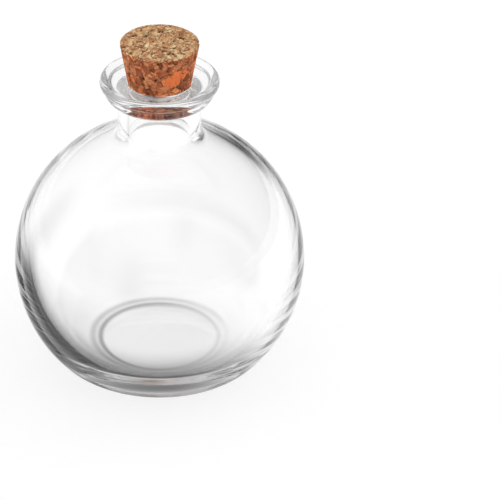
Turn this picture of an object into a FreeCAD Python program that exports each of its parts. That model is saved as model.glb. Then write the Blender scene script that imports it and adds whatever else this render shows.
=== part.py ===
"""Corked ball flask: a blown glass bottle with a flattened foot, and a tapered cork stopper.

Millimetres, +Z up. The origin is on the axis, in the plane that the flask stands on.
Both pieces are bodies of revolution about Z. Each outline is a chain of arcs in the (radius, height)
half-plane, and straight lines join one arc to the next.
"""
import FreeCAD
import Part
import math
import os

# Glass, outside
BULB_RADIUS = 42.0            # outside of the ball
FOOT_CUT = 9.6                # how much of the ball's bottom the flat foot takes away
HEEL_RADIUS = 13.5            # rounding from the ball down to the foot
FOOT_RING_WIDTH = 2.8         # flat ring that the flask stands on
PUNT_DEPTH = 1.4              # hollow under the base, inside the foot ring
PUNT_EDGE_RADIUS = 1.2        # rounding from the foot ring up into the punt
NECK_RADIUS = 11.9            # outside of the straight neck
NECK_LENGTH = 9.6             # straight part of the neck, between its two fillets
SHOULDER_RADIUS = 3.5         # hollow fillet from the ball up to the neck
COLLAR_RADIUS = 15.9          # outside of the thick collar under the lip
COLLAR_FILLET = 0.7           # hollow fillet from the neck out to the collar's underside
COLLAR_ROLL = 3.1             # rounding from the collar's underside up to its side
COLLAR_SIDE = 0.2             # straight part of the collar's side
LIP_RADIUS = 17.1             # outside of the rounded lip ring
LIP_BEAD = 1.45               # radius of the lip ring's round section
LIP_GROOVE = 0.5              # hollow fillet between the collar's side and the lip ring
DISH_DEPTH = 1.1              # how far the dish lies below the top of the lip ring
DISH_FILLET = 2.0             # hollow fillet from the lip ring down to the dish

# Glass, inside
SIDE_WALL = 3.8               # wall at the ball's equator
TOP_WALL = 2.4                # wall at the top of the ball, thinned by blowing
BASE_THICKNESS = 5.0          # from the foot ring up to the inner floor
INNER_HEEL_RADIUS = 20.0      # rounding from the inner wall to the inner floor
INNER_SHOULDER_RADIUS = 6.0   # rounding from the bore out to the inner wall
BORE_RADIUS = 8.8             # straight bore of the neck
THROAT_FLARE = 0.45           # how much wider the throat is at its top than the bore
THROAT_LENGTH = 2.5           # height over which the bore widens to the throat
THROAT_EDGE = 0.3             # rounding from the throat out to the dish

# Cork
CORK_CLEARANCE = 0.08         # between the cork's side and the throat, where they are nearest
CORK_HEAD = 12.5              # height of cork above its seat in the throat
CORK_INSERT = 6.3             # depth of cork below its seat
CORK_OVERHANG = 2.25          # how much wider the cork's top is than the cork at its seat
CORK_EDGE = 0.45              # rounding of the cork's two edges

# Heights and radii that follow from the sizes above
BULB_HEIGHT = BULB_RADIUS - FOOT_CUT
INNER_RADIUS = BULB_RADIUS - SIDE_WALL
INNER_HEIGHT = BULB_HEIGHT + SIDE_WALL - TOP_WALL
THROAT_RADIUS = BORE_RADIUS + THROAT_FLARE
JOIN_TOLERANCE = 1e-6         # two arcs nearer than this meet without a line between them


def leg(hypotenuse, other_leg):
    """The remaining leg of a right-angled triangle."""
    return math.sqrt(hypotenuse ** 2 - other_leg ** 2)


def direction(start, end):
    """Angle in degrees of the line from one (radius, height) point to another."""
    return math.degrees(math.atan2(end[1] - start[1], end[0] - start[0]))


def polar(centre, radius, angle):
    """The (radius, height) point at an angle in degrees on a circle."""
    turn = math.radians(angle)
    return (centre[0] + radius * math.cos(turn), centre[1] + radius * math.sin(turn))


def arc(centre, radius, start_angle, end_angle):
    """Three points of an arc, in the order that the outline meets them."""
    middle_angle = (start_angle + end_angle) / 2
    return [polar(centre, radius, angle) for angle in (start_angle, middle_angle, end_angle)]


def point(radius, height):
    """A corner of the outline."""
    return [(radius, height)]


def revolved(outline):
    """A solid of revolution about Z from arcs and corners, with a line wherever two don't meet."""
    edges = []
    for piece, following in zip(outline, outline[1:] + outline[:1]):
        spots = [FreeCAD.Vector(radius, 0, height) for radius, height in piece]
        if len(spots) == 3:
            edges.append(Part.Arc(*spots).toShape())
        next_spot = FreeCAD.Vector(following[0][0], 0, following[0][1])
        if (next_spot - spots[-1]).Length > JOIN_TOLERANCE:
            edges.append(Part.LineSegment(spots[-1], next_spot).toShape())
    face = Part.Face(Part.Wire(edges))
    return face.revolve(FreeCAD.Vector(0, 0, 0), FreeCAD.Vector(0, 0, 1), 360)


def foot_outline():
    """From the axis under the punt, out over the foot ring and up the heel to the ball."""
    heel_reach = BULB_HEIGHT - HEEL_RADIUS
    foot_radius = leg(BULB_RADIUS - HEEL_RADIUS, heel_reach)
    heel = (foot_radius, HEEL_RADIUS)
    edge = (foot_radius - FOOT_RING_WIDTH, PUNT_EDGE_RADIUS)
    # The punt is a shallow dome, centred on the axis, that meets its rounded edge without a kink.
    rise = PUNT_EDGE_RADIUS - PUNT_DEPTH
    dome_radius = (edge[0] ** 2 + rise ** 2 - PUNT_EDGE_RADIUS ** 2) / (2 * PUNT_DEPTH)
    dome = (0, PUNT_DEPTH - dome_radius)
    return [
        arc(dome, dome_radius, 90, direction(dome, edge)),
        arc(edge, PUNT_EDGE_RADIUS, direction(edge, dome) % 360, 270),
        arc(heel, HEEL_RADIUS, -90, direction((0, BULB_HEIGHT), heel)),
    ]


def shoulder_height():
    """Height of the centre of the fillet between the ball and the neck."""
    return BULB_HEIGHT + leg(BULB_RADIUS + SHOULDER_RADIUS, NECK_RADIUS + SHOULDER_RADIUS)


def collar_height():
    """Height of the collar's flat underside."""
    return shoulder_height() + NECK_LENGTH + COLLAR_FILLET


def lip_bead_centre():
    """Centre of the lip ring's round section, above the collar's side and its groove."""
    radius = LIP_RADIUS - LIP_BEAD
    groove_height = collar_height() + COLLAR_ROLL + COLLAR_SIDE
    reach = leg(LIP_BEAD + LIP_GROOVE, COLLAR_RADIUS + LIP_GROOVE - radius)
    return (radius, groove_height + reach)


def dish_height():
    """Height of the dish around the mouth."""
    return lip_bead_centre()[1] + LIP_BEAD - DISH_DEPTH


def bulb_outline():
    """The ball and the fillet up to the neck."""
    heel = (leg(BULB_RADIUS - HEEL_RADIUS, BULB_HEIGHT - HEEL_RADIUS), HEEL_RADIUS)
    shoulder = (NECK_RADIUS + SHOULDER_RADIUS, shoulder_height())
    centre = (0, BULB_HEIGHT)
    return [
        arc(centre, BULB_RADIUS, direction(centre, heel), direction(centre, shoulder)),
        arc(shoulder, SHOULDER_RADIUS, direction(shoulder, centre) % 360, 180),
    ]


def collar_outline():
    """The collar above the neck, up to the groove under the lip ring."""
    underside = collar_height()
    fillet = (NECK_RADIUS + COLLAR_FILLET, underside - COLLAR_FILLET)
    roll = (COLLAR_RADIUS - COLLAR_ROLL, underside + COLLAR_ROLL)
    groove = (COLLAR_RADIUS + LIP_GROOVE, roll[1] + COLLAR_SIDE)
    return [
        arc(fillet, COLLAR_FILLET, 180, 90),
        arc(roll, COLLAR_ROLL, 270, 360),
        arc(groove, LIP_GROOVE, 180, direction(groove, lip_bead_centre())),
    ]


def mouth_outline():
    """The lip ring, the dish inside it and the rounded edge of the throat."""
    bead = lip_bead_centre()
    groove = (COLLAR_RADIUS + LIP_GROOVE, collar_height() + COLLAR_ROLL + COLLAR_SIDE)
    corner_height = dish_height() + DISH_FILLET
    corner_reach = leg(LIP_BEAD + DISH_FILLET, corner_height - bead[1])
    corner = (bead[0] - corner_reach, corner_height)
    return [
        arc(bead, LIP_BEAD, direction(bead, groove), direction(bead, corner)),
        arc(corner, DISH_FILLET, direction(corner, bead), -90),
        arc(throat_edge_centre(), THROAT_EDGE, 90, 180),
    ]


def throat_edge_centre():
    """Centre of the rounded edge between the dish and the throat."""
    return (THROAT_RADIUS + THROAT_EDGE, dish_height() - THROAT_EDGE)


def inside_outline():
    """From the throat down the bore, round the inside of the ball and in to the axis."""
    centre = (0, INNER_HEIGHT)
    shoulder_radius = BORE_RADIUS + INNER_SHOULDER_RADIUS
    shoulder_reach = leg(INNER_RADIUS + INNER_SHOULDER_RADIUS, shoulder_radius)
    shoulder = (shoulder_radius, INNER_HEIGHT + shoulder_reach)
    heel_height = BASE_THICKNESS + INNER_HEEL_RADIUS
    heel = (leg(INNER_RADIUS - INNER_HEEL_RADIUS, INNER_HEIGHT - heel_height), heel_height)
    return [
        point(BORE_RADIUS, throat_edge_centre()[1] - THROAT_LENGTH),
        arc(shoulder, INNER_SHOULDER_RADIUS, 180, direction(shoulder, centre) % 360),
        arc(centre, INNER_RADIUS, direction(centre, shoulder), direction(centre, heel)),
        arc(heel, INNER_HEEL_RADIUS, direction(centre, heel), -90),
        point(0, BASE_THICKNESS),
    ]


def glass_flask():
    """The bottle: foot, ball, neck, collar and lip in one piece of glass."""
    return revolved(
        foot_outline() + bulb_outline() + collar_outline() + mouth_outline() + inside_outline())


def cork_stopper():
    """The tapered cork, standing in the throat with its side just clear of the glass."""
    taper = math.atan2(CORK_OVERHANG, CORK_HEAD)
    # Measured from the centre of the throat's edge, square to the cork's side, the glass comes this near
    # to the cork: at its rounded edge, or at the lower end of the flare if the cork tapers less.
    flare_end = (THROAT_EDGE + THROAT_FLARE) * math.cos(taper) - THROAT_LENGTH * math.sin(taper)
    reach = max(THROAT_EDGE, flare_end) + CORK_CLEARANCE
    radius, height = throat_edge_centre()
    seat_radius = radius - reach * math.cos(taper)
    seat_height = height + reach * math.sin(taper)
    bottom_radius = seat_radius - CORK_INSERT * math.tan(taper)
    top_radius = seat_radius + CORK_OVERHANG
    bottom = FreeCAD.Vector(0, 0, seat_height - CORK_INSERT)
    cone = Part.makeCone(bottom_radius, top_radius, CORK_INSERT + CORK_HEAD, bottom)
    rims = [edge for edge in cone.Edges if isinstance(edge.Curve, Part.Circle)]
    return cone.makeFillet(CORK_EDGE, rims)


PARTS = {"glass_flask": glass_flask, "cork_stopper": cork_stopper}

os.makedirs("parts", exist_ok=True)
for node, make in PARTS.items():
    make().exportStep("parts/" + node + ".step")
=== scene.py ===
import math
import bpy
import numpy as np
from mathutils import Matrix, Vector

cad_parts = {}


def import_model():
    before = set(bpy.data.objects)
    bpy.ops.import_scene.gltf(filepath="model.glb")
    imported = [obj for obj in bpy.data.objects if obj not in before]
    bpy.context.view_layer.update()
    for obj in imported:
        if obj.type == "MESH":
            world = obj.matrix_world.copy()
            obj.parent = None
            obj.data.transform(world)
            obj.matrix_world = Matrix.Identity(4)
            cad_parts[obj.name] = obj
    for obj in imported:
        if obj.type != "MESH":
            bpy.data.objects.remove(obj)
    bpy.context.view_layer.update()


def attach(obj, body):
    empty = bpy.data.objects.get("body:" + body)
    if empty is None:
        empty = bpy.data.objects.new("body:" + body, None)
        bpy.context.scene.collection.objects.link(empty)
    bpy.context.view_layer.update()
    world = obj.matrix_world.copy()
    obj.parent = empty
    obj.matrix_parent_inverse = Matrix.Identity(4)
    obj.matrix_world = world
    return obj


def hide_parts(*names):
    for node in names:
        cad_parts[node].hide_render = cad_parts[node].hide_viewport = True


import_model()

MM = 0.001

# ---------------------------------------------------------------- sizes, in millimetres
# They repeat the driving sizes of the CAD model, so that the looks lie on its surfaces.

# Glass, outside
BULB_RADIUS = 42.0
FOOT_CUT = 9.6                # how much of the ball's bottom the flat foot takes away
HEEL_RADIUS = 13.5
FOOT_RING_WIDTH = 2.8
PUNT_DEPTH = 1.4
PUNT_EDGE_RADIUS = 1.2
NECK_RADIUS = 11.9
NECK_LENGTH = 9.6
SHOULDER_RADIUS = 3.5
COLLAR_RADIUS = 15.9
COLLAR_FILLET = 0.7
COLLAR_ROLL = 3.1             # rounding from the collar's underside up to its side
COLLAR_SIDE = 0.2             # straight part of the collar's side
LIP_RADIUS = 17.1
LIP_BEAD = 1.45               # radius of the lip ring's round section
LIP_GROOVE = 0.5
DISH_DEPTH = 1.1              # below the top of the lip ring
DISH_FILLET = 2.0

# Glass, inside
SIDE_WALL = 3.8
TOP_WALL = 2.4
BASE_THICKNESS = 5.0
INNER_HEEL_RADIUS = 20.0
INNER_SHOULDER_RADIUS = 6.0
BORE_RADIUS = 8.8
THROAT_FLARE = 0.45           # how much wider the throat is at its top than the bore
THROAT_LENGTH = 2.5
THROAT_EDGE = 0.3

# Cork
CORK_CLEARANCE = 0.08
CORK_HEAD = 12.5              # height of cork above its seat in the throat
CORK_INSERT = 6.3             # depth of cork below its seat
CORK_OVERHANG = 2.25          # how much wider its top is than the cork at its seat
CORK_EDGE = 0.45

BULB_HEIGHT = BULB_RADIUS - FOOT_CUT
INNER_RADIUS = BULB_RADIUS - SIDE_WALL
INNER_HEIGHT = BULB_HEIGHT + SIDE_WALL - TOP_WALL
THROAT_RADIUS = BORE_RADIUS + THROAT_FLARE

# How fine the glass mesh is
SEGMENTS = 300                # round the axis
ARC_STEP = 2.0                # degrees between the points of a large arc
ARC_CHORD = 0.25              # millimetres between the points of a small one
ARC_LEAST = 3                 # points of even the shortest arc
LINE_STEP = 1.2               # millimetres between the points of a straight stretch
JOIN_GAP = 1e-4               # ends nearer than this are one point


# ---------------------------------------------------------------- sections in the (radius, height) half-plane

def leg(hypotenuse, other_leg):
    """The remaining leg of a right-angled triangle."""
    return math.sqrt(hypotenuse ** 2 - other_leg ** 2)


def direction(start, end):
    """Angle in degrees of the line from one point to another."""
    return math.degrees(math.atan2(end[1] - start[1], end[0] - start[0]))


def polar(centre, radius, angle):
    """The point at an angle in degrees on a circle."""
    turn = math.radians(angle)
    return (centre[0] + radius * math.cos(turn), centre[1] + radius * math.sin(turn))


def arc(centre, radius, start_angle, end_angle):
    """Points of an arc, close enough together to look round."""
    step = max(ARC_STEP, math.degrees(ARC_CHORD / radius))
    count = max(ARC_LEAST, math.ceil(abs(end_angle - start_angle) / step) + 1)
    return [polar(centre, radius, angle) for angle in np.linspace(start_angle, end_angle, count)]


def joined(pieces):
    """One chain of points from arcs and corners, with the straight stretches filled in."""
    chain = [pieces[0][0]]
    for piece in pieces:
        start, end = np.array(chain[-1]), np.array(piece[0])
        gap = np.linalg.norm(end - start)
        steps = math.ceil(gap / LINE_STEP)
        chain.extend(tuple(start + (end - start) * step / steps) for step in range(1, steps))
        if gap > JOIN_GAP:
            chain.append(piece[0])
        chain.extend(piece[1:])
    return chain


def heel_centre():
    return (leg(BULB_RADIUS - HEEL_RADIUS, BULB_HEIGHT - HEEL_RADIUS), HEEL_RADIUS)


def shoulder_centre():
    """Centre of the hollow fillet between the ball and the neck."""
    reach = NECK_RADIUS + SHOULDER_RADIUS
    return (reach, BULB_HEIGHT + leg(BULB_RADIUS + SHOULDER_RADIUS, reach))


def collar_underside():
    return shoulder_centre()[1] + NECK_LENGTH + COLLAR_FILLET


def groove_centre():
    """Centre of the small fillet between the collar's side and the lip ring."""
    return (COLLAR_RADIUS + LIP_GROOVE, collar_underside() + COLLAR_ROLL + COLLAR_SIDE)


def bead_centre():
    """Centre of the lip ring's round section."""
    radius = LIP_RADIUS - LIP_BEAD
    groove = groove_centre()
    return (radius, groove[1] + leg(LIP_BEAD + LIP_GROOVE, groove[0] - radius))


def dish_height():
    return bead_centre()[1] + LIP_BEAD - DISH_DEPTH


def throat_edge_centre():
    """Centre of the rounded edge between the dish and the throat."""
    return (THROAT_RADIUS + THROAT_EDGE, dish_height() - THROAT_EDGE)


def foot_outline():
    """From the axis under the punt, out over the foot ring and up the heel."""
    heel = heel_centre()
    edge = (heel[0] - FOOT_RING_WIDTH, PUNT_EDGE_RADIUS)
    rise = PUNT_EDGE_RADIUS - PUNT_DEPTH
    dome_radius = (edge[0] ** 2 + rise ** 2 - PUNT_EDGE_RADIUS ** 2) / (2 * PUNT_DEPTH)
    dome = (0, PUNT_DEPTH - dome_radius)
    return [
        arc(dome, dome_radius, 90, direction(dome, edge)),
        arc(edge, PUNT_EDGE_RADIUS, direction(edge, dome) % 360, 270),
        arc(heel, HEEL_RADIUS, -90, direction((0, BULB_HEIGHT), heel)),
    ]


def bulb_outline():
    """The ball and the fillet up to the neck."""
    centre, shoulder = (0, BULB_HEIGHT), shoulder_centre()
    return [
        arc(centre, BULB_RADIUS, direction(centre, heel_centre()), direction(centre, shoulder)),
        arc(shoulder, SHOULDER_RADIUS, direction(shoulder, centre) % 360, 180),
    ]


def collar_outline():
    """From the neck out under the collar and up to the groove under the lip ring."""
    underside, groove = collar_underside(), groove_centre()
    fillet = (NECK_RADIUS + COLLAR_FILLET, underside - COLLAR_FILLET)
    roll = (COLLAR_RADIUS - COLLAR_ROLL, underside + COLLAR_ROLL)
    return [
        arc(fillet, COLLAR_FILLET, 180, 90),
        arc(roll, COLLAR_ROLL, 270, 360),
        arc(groove, LIP_GROOVE, 180, direction(groove, bead_centre())),
    ]


def mouth_outline():
    """The lip ring, the dish inside it and the rounded edge of the throat."""
    bead = bead_centre()
    corner_height = dish_height() + DISH_FILLET
    corner = (bead[0] - leg(LIP_BEAD + DISH_FILLET, corner_height - bead[1]), corner_height)
    return [
        arc(bead, LIP_BEAD, direction(bead, groove_centre()), direction(bead, corner)),
        arc(corner, DISH_FILLET, direction(corner, bead), -90),
        arc(throat_edge_centre(), THROAT_EDGE, 90, 180),
    ]


def inside_outline():
    """From the throat down the bore, round the inside of the ball and in to the axis."""
    centre = (0, INNER_HEIGHT)
    shoulder_radius = BORE_RADIUS + INNER_SHOULDER_RADIUS
    shoulder = (shoulder_radius, INNER_HEIGHT + leg(INNER_RADIUS + INNER_SHOULDER_RADIUS, shoulder_radius))
    heel_height = BASE_THICKNESS + INNER_HEEL_RADIUS
    heel = (leg(INNER_RADIUS - INNER_HEEL_RADIUS, INNER_HEIGHT - heel_height), heel_height)
    return [
        [(BORE_RADIUS, throat_edge_centre()[1] - THROAT_LENGTH)],
        arc(shoulder, INNER_SHOULDER_RADIUS, 180, direction(shoulder, centre) % 360),
        arc(centre, INNER_RADIUS, direction(centre, shoulder), direction(centre, heel)),
        arc(heel, INNER_HEEL_RADIUS, direction(centre, heel), -90),
        [(0, BASE_THICKNESS)],
    ]


# ---------------------------------------------------------------- the glass

def smooth_piece(name, points, faces):
    """A smooth-shaded object from points in millimetres."""
    mesh = bpy.data.meshes.new(name)
    mesh.from_pydata((points * MM).tolist(), [], faces)
    mesh.polygons.foreach_set("use_smooth", [True] * len(mesh.polygons))
    piece = bpy.data.objects.new(name, mesh)
    bpy.context.scene.collection.objects.link(piece)
    return piece


def glass_piece():
    """The flask, turned about Z from a chain that starts and ends on the axis."""
    chain = joined(
        foot_outline() + bulb_outline() + collar_outline() + mouth_outline() + inside_outline())
    rings = np.array(chain[1:-1])
    radius, height = rings[:, :1], np.repeat(rings[:, 1:], SEGMENTS, axis=1)
    turns = np.linspace(0, math.tau, SEGMENTS, endpoint=False)
    around = np.stack([radius * np.cos(turns), radius * np.sin(turns), height], axis=-1).reshape(-1, 3)
    points = np.vstack([around, [(0, 0, chain[0][1]), (0, 0, chain[-1][1])]])
    first_pole, last_pole = len(around), len(around) + 1
    index = np.arange(len(around)).reshape(len(rings), SEGMENTS)
    after = np.roll(index, -1, axis=1)
    faces = np.stack([index[:-1], after[:-1], after[1:], index[1:]], axis=-1).reshape(-1, 4).tolist()
    faces += [(first_pole, b, a) for a, b in zip(index[0].tolist(), after[0].tolist())]
    faces += [(last_pole, a, b) for a, b in zip(index[-1].tolist(), after[-1].tolist())]
    return smooth_piece("glass_body", points, faces)


# ---------------------------------------------------------------- the cork: a cut block of glued granules
# Lengths are in millimetres.

CORK_CELLS = 128              # mesh cells along each side of the cork's six patches
EDGE_POINTS = 9               # points round each of its rounded edges
TINY = 1e-9                   # keeps a division from being by nothing

GRAIN_SEED = 5
COARSE_GRAINS = 2300          # granules in the block that the cork is cut from
FINE_GRAINS = 1500            # smaller ones, in the layer that its top is cut through
FINE_LAYER = 2.0              # how deep that layer is
FINE_SHARE = 0.5              # how much of its growth a small granule keeps
BLOCK_MARGIN = 1.0            # of the block, past the cork on every side
GRAIN_LIE = (1, 1, 0.7)       # granules lie flat a little more often than upright
GRAIN_LENGTHS = (1.0, 2.4)    # times their width
GRAIN_GROWTH = (-0.35, 0.45)  # how much farther or less far than its share one reaches
GRAIN_REACH = 2.6             # no granule shows farther than this above or below its centre
GRAIN_WARPS = ((2.6, 0.30, (1, 2, 3)), (0.9, 0.09, (4, 5, 6)))   # length, amount and seeds of each
SLICES = 60                   # the cork's points are worked on in this many level slices

# The large orange granule that faces the front, on the right
BIG_GRAIN_RADIUS = 9.0        # from the axis
BIG_GRAIN_AZIMUTH = math.radians(-62)   # -90 is the front
BIG_GRAIN_HEIGHT = 0.62       # of the block's height
BIG_GRAIN_RISE = 0.8          # how steeply it climbs as it goes round
BIG_GRAIN_LENGTH = 2.0
BIG_GRAIN_GROWTH = 2.0
BIG_GRAIN_TONE = 0.86

# A granule's tone times one of these, less the whole part, is another number from 0 to 1
OPENNESS_SHUFFLE = 7.3
RELIEF_SHUFFLE = 13.7
OPENNESS_START = 0.35         # that number's value where a joint begins to be open
OPENNESS_SPAN = 0.5           # and from there to fully open
OPENNESS_LEAST = 0.25

CREVICE_WIDTH = 0.11          # half width of an open joint between two granules
CREVICE_DEPTH = 0.26
GRAIN_RELIEF = 0.10           # how far one granule's cut face may lie below the next
PORE_LENGTH = 0.7             # of the fine unevenness all over
PORE_RELIEF = 0.03
PORE_SEED = 10

PIT_SEED = 21
PIT_COUNT = 150
PIT_DEPTH = 0.45
PIT_SIZES = (0.18, 0.55)
PIT_SPREAD = (0.6, 1.4)       # times its size
PIT_LENGTHENING = 0.8
PIT_RIM = 1.25                # times the size, where a pit begins
PIT_WARP = (0.8, 0.12, (7, 8, 9))

WAVE_COUNT = 24               # waves that one smooth random field adds up
WAVE_SPREAD = (0.6, 1.4)      # times the middle pitch
WAVE_POWER = 1.6              # brings the sum to about -1 to 1
# The side's colours are darker partly as painted shade; these set where they give way to the top's
CUT_START = 0.3               # height of the unit normal where the side's colours give way to the cut's
CUT_SPAN = 0.4


def unit(vectors):
    return vectors / np.linalg.norm(vectors, axis=-1, keepdims=True)


def waves(points, length, seed):
    """A smooth random field, about -1 to 1, whose features are about `length` across."""
    draw = np.random.default_rng(seed)
    ways = unit(draw.normal(size=(WAVE_COUNT, 3)))
    pull = ways * (math.tau / length) * draw.uniform(*WAVE_SPREAD, (WAVE_COUNT, 1))
    start = draw.uniform(0, math.tau, WAVE_COUNT)
    return np.sin(points @ pull.T + start).sum(axis=-1) * math.sqrt(WAVE_POWER / WAVE_COUNT)


def warped(points, *warps):
    """The points pushed about by smooth random fields."""
    return points + sum(
        np.stack([waves(points, length, seed) for seed in seeds], axis=-1) * amount
        for length, amount, seeds in warps)


def lattice():
    """Points from -1 to 1 on a cube's surface, and the quads between them."""
    steps = np.arange(CORK_CELLS + 1)
    first, second = np.meshgrid(steps, steps, indexing="ij")
    corners, quads = [], []
    for axis in range(3):
        for far in (0, CORK_CELLS):
            grid = np.empty(first.shape + (3,), int)
            grid[..., axis] = far
            grid[..., (axis + 1) % 3] = first
            grid[..., (axis + 2) % 3] = second
            index = first.size * len(corners) + np.arange(first.size).reshape(first.shape)
            quad = np.stack([index[:-1, :-1], index[1:, :-1], index[1:, 1:], index[:-1, 1:]], axis=-1)
            corners.append(grid.reshape(-1, 3))
            quads.append((quad if far else quad[..., ::-1]).reshape(-1, 4))
    points, place = np.unique(np.concatenate(corners), axis=0, return_inverse=True)
    return points * 2.0 / CORK_CELLS - 1.0, place.reshape(-1)[np.concatenate(quads)]


def cork_corners():
    """The top and bottom corners of the cork's section before its edges are rounded, and its taper."""
    taper = math.atan2(CORK_OVERHANG, CORK_HEAD)
    flare_end = (THROAT_EDGE + THROAT_FLARE) * math.cos(taper) - THROAT_LENGTH * math.sin(taper)
    reach = max(THROAT_EDGE, flare_end) + CORK_CLEARANCE
    edge_radius, edge_height = throat_edge_centre()
    seat_radius = edge_radius - reach * math.cos(taper)
    seat_height = edge_height + reach * math.sin(taper)
    top = (seat_radius + CORK_OVERHANG, seat_height + CORK_HEAD)
    bottom = (seat_radius - CORK_INSERT * math.tan(taper), seat_height - CORK_INSERT)
    return top, bottom, math.degrees(taper)


def cork_profile():
    """The cork's rounded section, and the lengths of its top, side and bottom.

    Each row holds the distance along the sharp section, out, down and in again, then the radius, the
    height and the angle in degrees that the surface faces above the level.
    """
    top, bottom, lean = cork_corners()
    side = math.dist(top, bottom)
    rows = [(0, 0, top[1], 90.0)]
    for corner, inward, along, start, end in (
            (top, -CORK_EDGE, top[0], 90.0, -lean),
            (bottom, CORK_EDGE, top[0] + side, -lean, -90.0)):
        cut_back = CORK_EDGE * math.tan(math.radians(start - end) / 2)
        centre = (corner[0] - cut_back, corner[1] + inward)
        for part in np.linspace(0, 1, EDGE_POINTS):
            facing = start + (end - start) * part
            rows.append((along + cut_back * (2 * part - 1), *polar(centre, CORK_EDGE, facing), facing))
    rows.append((top[0] + side + bottom[0], 0, bottom[1], -90.0))
    return np.array(rows), top[0], side, bottom[0]


def cork_surface():
    """Points of the smooth cork, their outward normals and the mesh's quads."""
    cube, quads = lattice()
    # The squares round the cube's upright axis become circles.
    across = np.abs(cube[:, :2])
    reach = across.max(axis=1)
    eighth = across.min(axis=1) / np.maximum(reach, TINY) * math.pi / 4
    turn = np.where(across[:, 0] >= across[:, 1], eighth, math.pi / 2 - eighth)
    turn = np.where(cube[:, 0] < 0, math.pi - turn, turn)
    turn = np.where(cube[:, 1] < 0, -turn, turn)
    # Its top, sides and bottom follow one another along the section.
    rows, top, side, bottom = cork_profile()
    along = np.where(cube[:, 2] == 1, reach * top, top + side * (1 - cube[:, 2]) / 2)
    along = np.where(cube[:, 2] == -1, top + side + (1 - reach) * bottom, along)
    radius, height, facing = [np.interp(along, rows[:, 0], rows[:, column]) for column in (1, 2, 3)]
    facing = np.radians(facing)
    out = np.cos(facing)
    points = np.stack([radius * np.cos(turn), radius * np.sin(turn), height], axis=-1)
    normals = np.stack([out * np.cos(turn), out * np.sin(turn), np.sin(facing)], axis=-1)
    return points, normals, quads


def granules(low, high):
    """Centres, long axes, lengthening, growth and tones of the granules in the block."""
    draw = np.random.default_rng(GRAIN_SEED)
    coarse = draw.uniform(low, high, (COARSE_GRAINS, 3))
    fine = draw.uniform((low[0], low[1], high[2] - FINE_LAYER), high, (FINE_GRAINS, 3))
    centres = np.concatenate([coarse, fine])
    count = len(centres)
    axes = unit(draw.normal(size=(count, 3)) * GRAIN_LIE)
    lengths = draw.uniform(*GRAIN_LENGTHS, count)
    growth = draw.uniform(*GRAIN_GROWTH, count)
    growth[COARSE_GRAINS:] *= FINE_SHARE
    tone = draw.uniform(0, 1, count)
    across, along = math.cos(BIG_GRAIN_AZIMUTH), math.sin(BIG_GRAIN_AZIMUTH)
    big_height = low[2] + (high[2] - low[2]) * BIG_GRAIN_HEIGHT
    centres[0] = (BIG_GRAIN_RADIUS * across, BIG_GRAIN_RADIUS * along, big_height)
    axes[0] = unit(np.array([-along, across, BIG_GRAIN_RISE]))
    lengths[0], growth[0], tone[0] = BIG_GRAIN_LENGTH, BIG_GRAIN_GROWTH, BIG_GRAIN_TONE
    return centres, axes, 1 - 1 / lengths ** 2, growth, tone


def nearest_two(points, centres, axes, lengthening, growth):
    """For each point, the two granules that claim it most, and how far it lies from their joint."""
    own, other = np.empty(len(points), int), np.empty(len(points), int)
    gap = np.empty(len(points))
    for rows in np.array_split(np.argsort(points[:, 2], kind="stable"), SLICES):
        level = points[rows]
        near = np.flatnonzero((centres[:, 2] > level[:, 2].min() - GRAIN_REACH)
                              & (centres[:, 2] < level[:, 2].max() + GRAIN_REACH))
        middles, ways = centres[near], axes[near]
        square = (level ** 2).sum(-1)[:, None] + (middles ** 2).sum(-1) - 2 * level @ middles.T
        square -= lengthening[near] * (level @ ways.T - (middles * ways).sum(-1)) ** 2
        distance = np.sqrt(np.maximum(square, 0)) - growth[near]
        pair = np.argpartition(distance, 1, axis=1)[:, :2]
        value = np.take_along_axis(distance, pair, axis=1)
        order = np.argsort(value, axis=1)
        pair = near[np.take_along_axis(pair, order, axis=1)]
        value = np.take_along_axis(value, order, axis=1)
        own[rows], other[rows] = pair[:, 0], pair[:, 1]
        gap[rows] = (value[:, 1] - value[:, 0]) / 2
    return own, other, gap


def grain_field(points, low, high):
    """For each point: its granule's tone, how near an open joint it lies, and the granule's relief."""
    centres, axes, lengthening, growth, tone = granules(low, high)
    own, other, gap = nearest_two(warped(points, *GRAIN_WARPS), centres, axes, lengthening, growth)
    openness = (tone[own] * OPENNESS_SHUFFLE + tone[other] * OPENNESS_SHUFFLE) % 1.0
    openness = np.clip((openness - OPENNESS_START) / OPENNESS_SPAN, OPENNESS_LEAST, 1.0)
    joint = np.exp(-(gap / CREVICE_WIDTH) ** 2) * openness
    return tone[own], joint, (tone[own] * RELIEF_SHUFFLE) % 1.0


def pit_field(points):
    """Depth from 0 to 1 of the small dark pits that the cut opened."""
    draw = np.random.default_rng(PIT_SEED)
    chosen = draw.choice(len(points), PIT_COUNT, replace=False)
    axes = unit(draw.normal(size=(PIT_COUNT, 3)))
    sizes = draw.uniform(*PIT_SIZES, PIT_COUNT) * draw.uniform(*PIT_SPREAD, PIT_COUNT)
    depth = np.zeros(len(points))
    for place, axis, size in zip(points[chosen], axes, sizes):
        offset = points - place
        square = (offset ** 2).sum(-1) - PIT_LENGTHENING * (offset @ axis) ** 2
        depth = np.maximum(depth, np.clip(PIT_RIM - np.sqrt(np.maximum(square, 0)) / size, 0, 1))
    return depth


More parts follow.
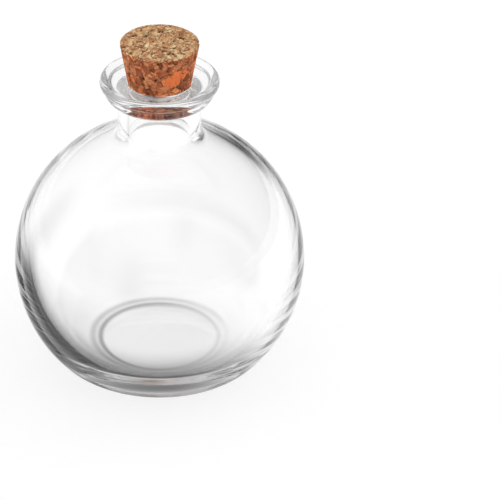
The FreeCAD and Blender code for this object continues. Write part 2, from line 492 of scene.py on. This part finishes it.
def cork_piece():
    """The cork, cut back from its smooth surface, with what its colours need on each point."""
    points, normals, quads = cork_surface()
    low = points.min(axis=0) - BLOCK_MARGIN
    high = points.max(axis=0) + BLOCK_MARGIN
    tone, joint, relief = grain_field(points, low, high)
    pits = pit_field(warped(points, PIT_WARP))
    pores = 0.5 + 0.5 * np.clip(waves(points, PORE_LENGTH, PORE_SEED), -1, 1)
    depth = CREVICE_DEPTH * joint + GRAIN_RELIEF * relief + PIT_DEPTH * pits + PORE_RELIEF * pores
    piece = smooth_piece("cork_body", points - normals * depth[:, None], quads.tolist())
    # 1 on the cut top and 0 on the side, whose colours are darker partly as painted shade
    cut_and_lit_top = np.clip((normals[:, 2] - CUT_START) / CUT_SPAN, 0, 1)
    for name, values in (("tone", tone), ("joint", joint), ("pit", pits), ("cut_and_lit_top", cut_and_lit_top)):
        layer = piece.data.attributes.new(name, "FLOAT", "POINT")
        layer.data.foreach_set("value", values.astype(np.float32))
    return piece


# ---------------------------------------------------------------- materials

class Net:
    """A node tree, with short ways to add to it. A value is a number or another node's output."""

    def __init__(self, tree):
        self.tree = tree

    def add(self, kind, *values, **settings):
        node = self.tree.nodes.new(kind)
        for name, setting in settings.items():
            setattr(node, name, setting)
        for socket, value in zip(node.inputs, values):
            self.feed(socket, value)
        return node

    def feed(self, socket, value):
        if isinstance(value, bpy.types.NodeSocket):
            self.tree.links.new(value, socket)
        else:
            socket.default_value = value

    def maths(self, operation, *values, clamp=False):
        return self.add("ShaderNodeMath", *values, operation=operation, use_clamp=clamp).outputs[0]

    def product(self, first, *others):
        for other in others:
            first = self.maths("MULTIPLY", first, other)
        return first

    def less(self, share, depth=1.0):
        """1 less a share of something."""
        return self.maths("MULTIPLY_ADD", share, -depth, 1.0)

    def where(self, mask, value):
        """The value where the mask is 1, and 1 where it is 0."""
        return self.maths("MULTIPLY_ADD", self.maths("SUBTRACT", value, 1.0), mask, 1.0)

    def vector(self, operation, *values):
        node = self.add("ShaderNodeVectorMath", *values, operation=operation)
        return node.outputs["Value" if operation in ("LENGTH", "DOT_PRODUCT") else "Vector"]

    def between(self, value, start, end):
        """0 up to start and 1 beyond end, with a soft step from one to the other."""
        node = self.add("ShaderNodeMapRange", value, interpolation_type="SMOOTHSTEP")
        self.feed(node.inputs["From Min"], start)
        self.feed(node.inputs["From Max"], end)
        return node.outputs["Result"]

    def speckle(self, place, scale, detail=3.0):
        """Noise from 0 to 1 at a scale in features a metre."""
        node = self.add("ShaderNodeTexNoise", place)
        self.feed(node.inputs["Scale"], scale)
        self.feed(node.inputs["Detail"], detail)
        return node.outputs["Fac"]

    def attribute(self, name):
        return self.add("ShaderNodeAttribute", attribute_name=name).outputs["Fac"]

    def ramp(self, factor, stops):
        node = self.add("ShaderNodeValToRGB", factor)
        for place, _ in stops[2:]:
            node.color_ramp.elements.new(place)
        for element, (place, colour) in zip(node.color_ramp.elements, stops):
            element.position = place
            element.color = srgb(*colour)
        return node.outputs["Color"]

    def mixed(self, factor, first, second):
        """One colour over another by a factor."""
        node = self.add("ShaderNodeMix", data_type="RGBA")
        sockets = [socket for socket in node.inputs if socket.enabled]
        for socket, value in zip(sockets, (factor, first, second)):
            self.feed(socket, value)
        return next(socket for socket in node.outputs if socket.enabled)

    def glass_rays(self):
        """1 for the rays that the glass lets through or reflects, otherwise 0."""
        path = self.add("ShaderNodeLightPath").outputs
        return self.maths("ADD", path["Is Transmission Ray"], path["Is Glossy Ray"], clamp=True)


def srgb(red, green, blue):
    """A colour written as a screen shows it, 0 to 255, as the linear colour that shaders take."""
    parts = [value / 255 for value in (red, green, blue)]
    return tuple(p / 12.92 if p <= 0.04045 else ((p + 0.055) / 1.055) ** 2.4 for p in parts) + (1.0,)


def new_material(name):
    material = bpy.data.materials.new(name)
    material.use_nodes = True
    return material, Net(material.node_tree), material.node_tree.nodes["Principled BSDF"]


GLASS_INDEX = 1.52
GLASS_TINT = (0.80, 0.805, 0.80, 1)   # the nearer to 1, the less light of that colour it takes
GLASS_DENSITY = 5.0           # how fast it takes light, by the metre


def glass_material():
    """Clear glass that takes a trace of light where it is thick."""
    material, net, shader = new_material("clear_blown_glass")
    shader.inputs["Base Color"].default_value = (1, 1, 1, 1)
    shader.inputs["Roughness"].default_value = 0.0
    shader.inputs["IOR"].default_value = GLASS_INDEX
    shader.inputs["Transmission Weight"].default_value = 1.0
    absorb = net.add("ShaderNodeVolumeAbsorption")
    absorb.inputs["Color"].default_value = GLASS_TINT
    absorb.inputs["Density"].default_value = GLASS_DENSITY
    net.feed(material.node_tree.nodes["Material Output"].inputs["Volume"], absorb.outputs["Volume"])
    return material


# Colours by tone, on the cork's moulded side and on its cut top. The side's are darker partly as painted
# shade, where less light falls on the side.
SIDE_TONES_WITH_PAINTED_SHADE = (
    (0.0, (132, 70, 42)), (0.18, (160, 88, 54)), (0.4, (182, 106, 68)), (0.58, (198, 122, 80)),
    (0.72, (216, 146, 98)), (0.8, (222, 114, 62)), (0.95, (230, 122, 66)), (1.0, (236, 176, 120)))
CUT_TONES = (
    (0.0, (178, 122, 82)), (0.2, (206, 152, 106)), (0.5, (223, 175, 126)), (0.8, (235, 196, 147)),
    (1.0, (246, 223, 172)))
JOINT_COLOUR = (74, 32, 18)
JOINT_DEPTH = 0.9
PIT_COLOUR = (52, 22, 14)
RUST_COLOUR = (150, 66, 38)
# Pale colour of the painted highlights, spots that stand in for glints of light on the cork
PAINTED_HIGHLIGHT_COLOUR = (244, 206, 150)

CORK_ROUGHNESS = 0.88
CORK_SPECULAR = 0.25

# Scales are in features a metre
FINE_SPECKLE = 2600
SOFT_SPECKLE = 700
TONE_SHIFT = 0.42             # how far the speckles together shift a granule's tone
VEIN_SCALE = 260
VEIN_SHARPNESS = 70.0
VEIN_DEPTH = 0.9
PATCH_SCALE = 150             # veins come in patches
PATCH_START = 0.52
SPOT_SHARPNESS = 9.0
CRUMBS = (1900, -5.4, 0.75)   # scale, offset (the lower, the fewer spots) and depth
# Pale spots of painted highlight, with the same scale, offset and depth
PAINTED_HIGHLIGHTS = (2300, -5.6, 0.45)
BUMP_STRENGTH = 0.35
BUMP_METRES = 0.00012


def veins(net, place):
    """Thin winding lines where a large soft noise crosses its middle, in patches."""
    away = net.maths("ABSOLUTE", net.maths("SUBTRACT", net.speckle(place, VEIN_SCALE, detail=1.0), 0.5))
    line = net.maths("MULTIPLY_ADD", away, -VEIN_SHARPNESS, 1.0, clamp=True)
    patch = net.maths("GREATER_THAN", net.speckle(place, PATCH_SCALE, detail=0.0), PATCH_START)
    return net.product(line, patch, VEIN_DEPTH)


def spots(net, place, scale, offset, depth):
    """Small spots where a fine noise peaks."""
    noise = net.speckle(place, scale, detail=2.0)
    return net.product(net.maths("MULTIPLY_ADD", noise, SPOT_SHARPNESS, offset, clamp=True), depth)


def cork_material():
    """Each granule in its own brown, with dark joints and pits, rusty veins, crumbs and pale spots of painted
    highlight. The side is darker than the cut top, partly as painted shade.
    """
    material, net, shader = new_material("agglomerated_cork")
    shader.inputs["Roughness"].default_value = CORK_ROUGHNESS
    shader.inputs["Specular IOR Level"].default_value = CORK_SPECULAR
    place = net.add("ShaderNodeTexCoord").outputs["Object"]
    fine = net.speckle(place, FINE_SPECKLE)
    speckles = net.maths("ADD", fine, net.speckle(place, SOFT_SPECKLE))
    shift = net.maths("MULTIPLY_ADD", speckles, TONE_SHIFT, -TONE_SHIFT)
    tone = net.maths("ADD", net.attribute("tone"), shift, clamp=True)
    # the side's colours, darker partly by painted shade, give way to the cut top's where the surface faces up
    colour = net.mixed(net.attribute("cut_and_lit_top"), net.ramp(tone, SIDE_TONES_WITH_PAINTED_SHADE), net.ramp(tone, CUT_TONES))
    for share, over in (
            (veins(net, place), RUST_COLOUR),
            (net.product(net.attribute("joint"), JOINT_DEPTH), JOINT_COLOUR),
            (spots(net, place, *CRUMBS), JOINT_COLOUR),
            # pale spots of painted highlight
            (spots(net, place, *PAINTED_HIGHLIGHTS), PAINTED_HIGHLIGHT_COLOUR),
            (net.attribute("pit"), PIT_COLOUR)):
        colour = net.mixed(share, colour, srgb(*over))
    net.feed(shader.inputs["Base Color"], colour)
    bump = net.add("ShaderNodeBump")
    bump.inputs["Strength"].default_value = BUMP_STRENGTH
    bump.inputs["Distance"].default_value = BUMP_METRES
    net.feed(bump.inputs["Height"], fine)
    net.feed(shader.inputs["Normal"], bump.outputs["Normal"])
    return material


# ---------------------------------------------------------------- pieces

glass = glass_piece()
glass.data.materials.append(glass_material())
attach(glass, "flask")
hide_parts("glass_flask")

cork = cork_piece()
cork.data.materials.append(cork_material())
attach(cork, "stopper")
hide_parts("cork_stopper")


# ---------------------------------------------------------------- stage
# White all round and white below. Only the glass shows what is dark here, as it does in a real studio
# where dark things stand outside the picture. Lengths are in metres, from the flask's axis.

FLOOR_GAP = 0.00005           # the film of air under the foot ring
FLOOR_REACH = 2.0             # to each side
FLOOR_ROUGHNESS = 0.9
FLOOR_WHITE = 0.30            # what the floor reflects
FLOOR_LIFT = 0.72             # what it adds, so that it shows white
GLASS_WHITE = 0.12            # the same two, as the glass shows the floor
GLASS_LIFT = 0.92

# A shade on the floor, to the left and front of the oval of floor that shows straight through the ball
SHADE_CENTRE = (0, 0.0535, 0)     # the oval's middle
SHADE_HALF = (0.051, 0.061, 1)    # and half its width and length
SHADE_SIDE = math.radians(-121)
SHADE_SPREAD = (0.25, 0.85)   # cosines of the angles to that side where the shade starts and is full
SHADE_RAMP = (0.97, 1.35)     # times the half-size, where the shade starts and is full
SHADE_END = (3.4, 2.2)        # and where it ends and is still full
SHADE_LEVEL = 0.08            # the light that it leaves where it is full

# Rings of shade where the foot ring meets the floor: radius, half width and depth
FOOT_RADIUS = heel_centre()[0]
CONTACT_SHADES = (
    ((FOOT_RADIUS - FOOT_RING_WIDTH) * MM, 0.0017, 0.60),
    (FOOT_RADIUS * MM, 0.0024, 0.35))
CONTACT_SIDE = (-0.9, 0.43, 0)    # they are darkest on this side
CONTACT_SPREAD = (-0.8, 0.6)
CONTACT_LEAST = 0.3           # and this share as dark on the other

# Broad dark sides of the studio: azimuth and elevation in degrees of the middle of each, and its depth
DARK_SIDES = ((250, 10, 0.4), (15, 12, 0.85), (75, 25, 0.4))

# Dark upright stripes round the studio and on the far floor, which draw the edges of the neck
STRIPES = 4.0                 # how many there are
STRIPE_AZIMUTH = math.radians(67.5)   # of one of them
STRIPE_NARROWNESS = 3.0       # the higher, the narrower they are
STRIPE_DEPTH = 0.95
STRIPE_FLOOR = (0.15, 0.40)   # where they start and are full on the floor
STRIPE_HEIGHTS = (0.6, 0.25)  # sines of the angles above the level where they end and are full


def stripes(net, place):
    """How dark the stripes are in the direction of a place from the axis."""
    parts = net.add("ShaderNodeSeparateXYZ", place).outputs
    azimuth = net.maths("ARCTAN2", parts["Y"], parts["X"])
    wave = net.maths("COSINE", net.maths("MULTIPLY_ADD", azimuth, STRIPES, -STRIPES * STRIPE_AZIMUTH))
    return net.product(net.maths("POWER", net.maths("MAXIMUM", wave, 0.0), STRIPE_NARROWNESS), STRIPE_DEPTH)


def side_shade(net, spot):
    """What the shade beside the oval leaves of the light."""
    place = net.vector("DIVIDE", net.vector("SUBTRACT", spot, SHADE_CENTRE), SHADE_HALF)
    side = (math.cos(SHADE_SIDE), math.sin(SHADE_SIDE), 0)
    facing = net.vector("DOT_PRODUCT", net.vector("NORMALIZE", place), side)
    reach = net.vector("LENGTH", place)
    share = net.product(
        net.between(facing, *SHADE_SPREAD), net.between(reach, *SHADE_RAMP), net.between(reach, *SHADE_END))
    return net.less(share, 1.0 - SHADE_LEVEL)


def contact_shades(net, spot, radius):
    """What the rings of shade under the foot ring leave of the light."""
    facing = net.vector("DOT_PRODUCT", net.vector("NORMALIZE", spot), CONTACT_SIDE)
    spread = net.between(facing, *CONTACT_SPREAD)
    weight = net.maths("MULTIPLY_ADD", spread, 1.0 - CONTACT_LEAST, CONTACT_LEAST)
    left = []
    for middle, half_width, depth in CONTACT_SHADES:
        inner = net.between(radius, middle - half_width, middle)
        outer = net.between(radius, middle + half_width, middle)
        left.append(net.less(net.product(inner, outer, weight), depth))
    return net.product(*left)


def floor_material():
    material, net, shader = new_material("white_floor")
    shader.inputs["Roughness"].default_value = FLOOR_ROUGHNESS
    shader.inputs["Specular IOR Level"].default_value = 0.0
    shader.inputs["Emission Color"].default_value = (1, 1, 1, 1)
    spot = net.add("ShaderNodeTexCoord").outputs["Object"]
    radius = net.vector("LENGTH", spot)
    far_stripes = net.product(stripes(net, spot), net.between(radius, *STRIPE_FLOOR))
    level = net.product(side_shade(net, spot), contact_shades(net, spot, radius), net.less(far_stripes))
    in_glass = net.glass_rays()
    level = net.where(in_glass, level)
    white = net.product(level, net.maths("MULTIPLY_ADD", in_glass, GLASS_WHITE - FLOOR_WHITE, FLOOR_WHITE))
    lift = net.product(level, net.maths("MULTIPLY_ADD", in_glass, GLASS_LIFT - FLOOR_LIFT, FLOOR_LIFT))
    net.feed(shader.inputs["Base Color"], net.add("ShaderNodeCombineColor", white, white, white).outputs[0])
    net.feed(shader.inputs["Emission Strength"], lift)
    return material


def floor():
    corners = [(x * FLOOR_REACH, y * FLOOR_REACH, 0) for x, y in ((-1, -1), (1, -1), (1, 1), (-1, 1))]
    mesh = bpy.data.meshes.new("floor")
    mesh.from_pydata(corners, [], [(0, 1, 2, 3)])
    mesh.materials.append(floor_material())
    plane = bpy.data.objects.new("floor", mesh)
    plane.location.z = -FLOOR_GAP
    bpy.context.scene.collection.objects.link(plane)


def world():
    """Even white light from all round, with the dark sides and stripes that only the glass shows."""
    sky = bpy.data.worlds.new("studio")
    bpy.context.scene.world = sky
    sky.use_nodes = True
    net = Net(sky.node_tree)
    way = net.add("ShaderNodeTexCoord").outputs["Generated"]
    left = []
    for azimuth, elevation, depth in DARK_SIDES:
        turn, rise = math.radians(azimuth), math.radians(elevation)
        middle = (math.cos(rise) * math.cos(turn), math.cos(rise) * math.sin(turn), math.sin(rise))
        facing = net.vector("DOT_PRODUCT", way, middle)
        left.append(net.less(net.maths("MAXIMUM", facing, 0.0), depth))
    height = net.add("ShaderNodeSeparateXYZ", way).outputs["Z"]
    left.append(net.less(net.product(stripes(net, way), net.between(height, *STRIPE_HEIGHTS))))
    background = sky.node_tree.nodes["Background"]
    background.inputs["Color"].default_value = (1, 1, 1, 1)
    net.feed(background.inputs["Strength"], net.where(net.glass_rays(), net.product(*left)))


CAMERA_ELEVATION = math.radians(31.2)
CAMERA_DISTANCE = 1.5         # from the ball's centre
CAMERA_LENS = 372.0           # millimetres
CAMERA_SENSOR = 36.0
CAMERA_CLIP = 20
CAMERA_TURN_RIGHT = math.radians(1.002)   # puts the flask in the left of the frame
CAMERA_TURN_UP = math.radians(0.071)


def camera():
    """A long lens, 31 degrees above the level, with the flask in the left of the frame."""
    centre = Vector((0, 0, BULB_HEIGHT * MM))
    back = Vector((0, -math.cos(CAMERA_ELEVATION), math.sin(CAMERA_ELEVATION)))
    data = bpy.data.cameras.new("camera")
    data.lens = CAMERA_LENS
    data.sensor_width = CAMERA_SENSOR
    data.clip_end = CAMERA_CLIP
    view = bpy.data.objects.new("camera", data)
    bpy.context.scene.collection.objects.link(view)
    view.location = centre + back * CAMERA_DISTANCE
    facing = (-back).to_track_quat("-Z", "Y").to_matrix()
    turn = Matrix.Rotation(-CAMERA_TURN_RIGHT, 3, "Y") @ Matrix.Rotation(CAMERA_TURN_UP, 3, "X")
    view.rotation_euler = (facing @ turn).to_euler()
    bpy.context.scene.camera = view


floor()
world()
camera()

# Light goes round inside the thick glass many times.
THROUGH_BOUNCES = 64
MIRROR_BOUNCES = 48

scene = bpy.context.scene
scene.view_settings.view_transform = "Standard"
scene.cycles.max_bounces = THROUGH_BOUNCES
scene.cycles.transmission_bounces = THROUGH_BOUNCES
scene.cycles.glossy_bounces = MIRROR_BOUNCES
scene.cycles.transparent_max_bounces = 16
scene.cycles.use_denoising = True
scene.cycles.blur_glossy = 0.0           # keeps the glass sharp when light reaches it from the floor
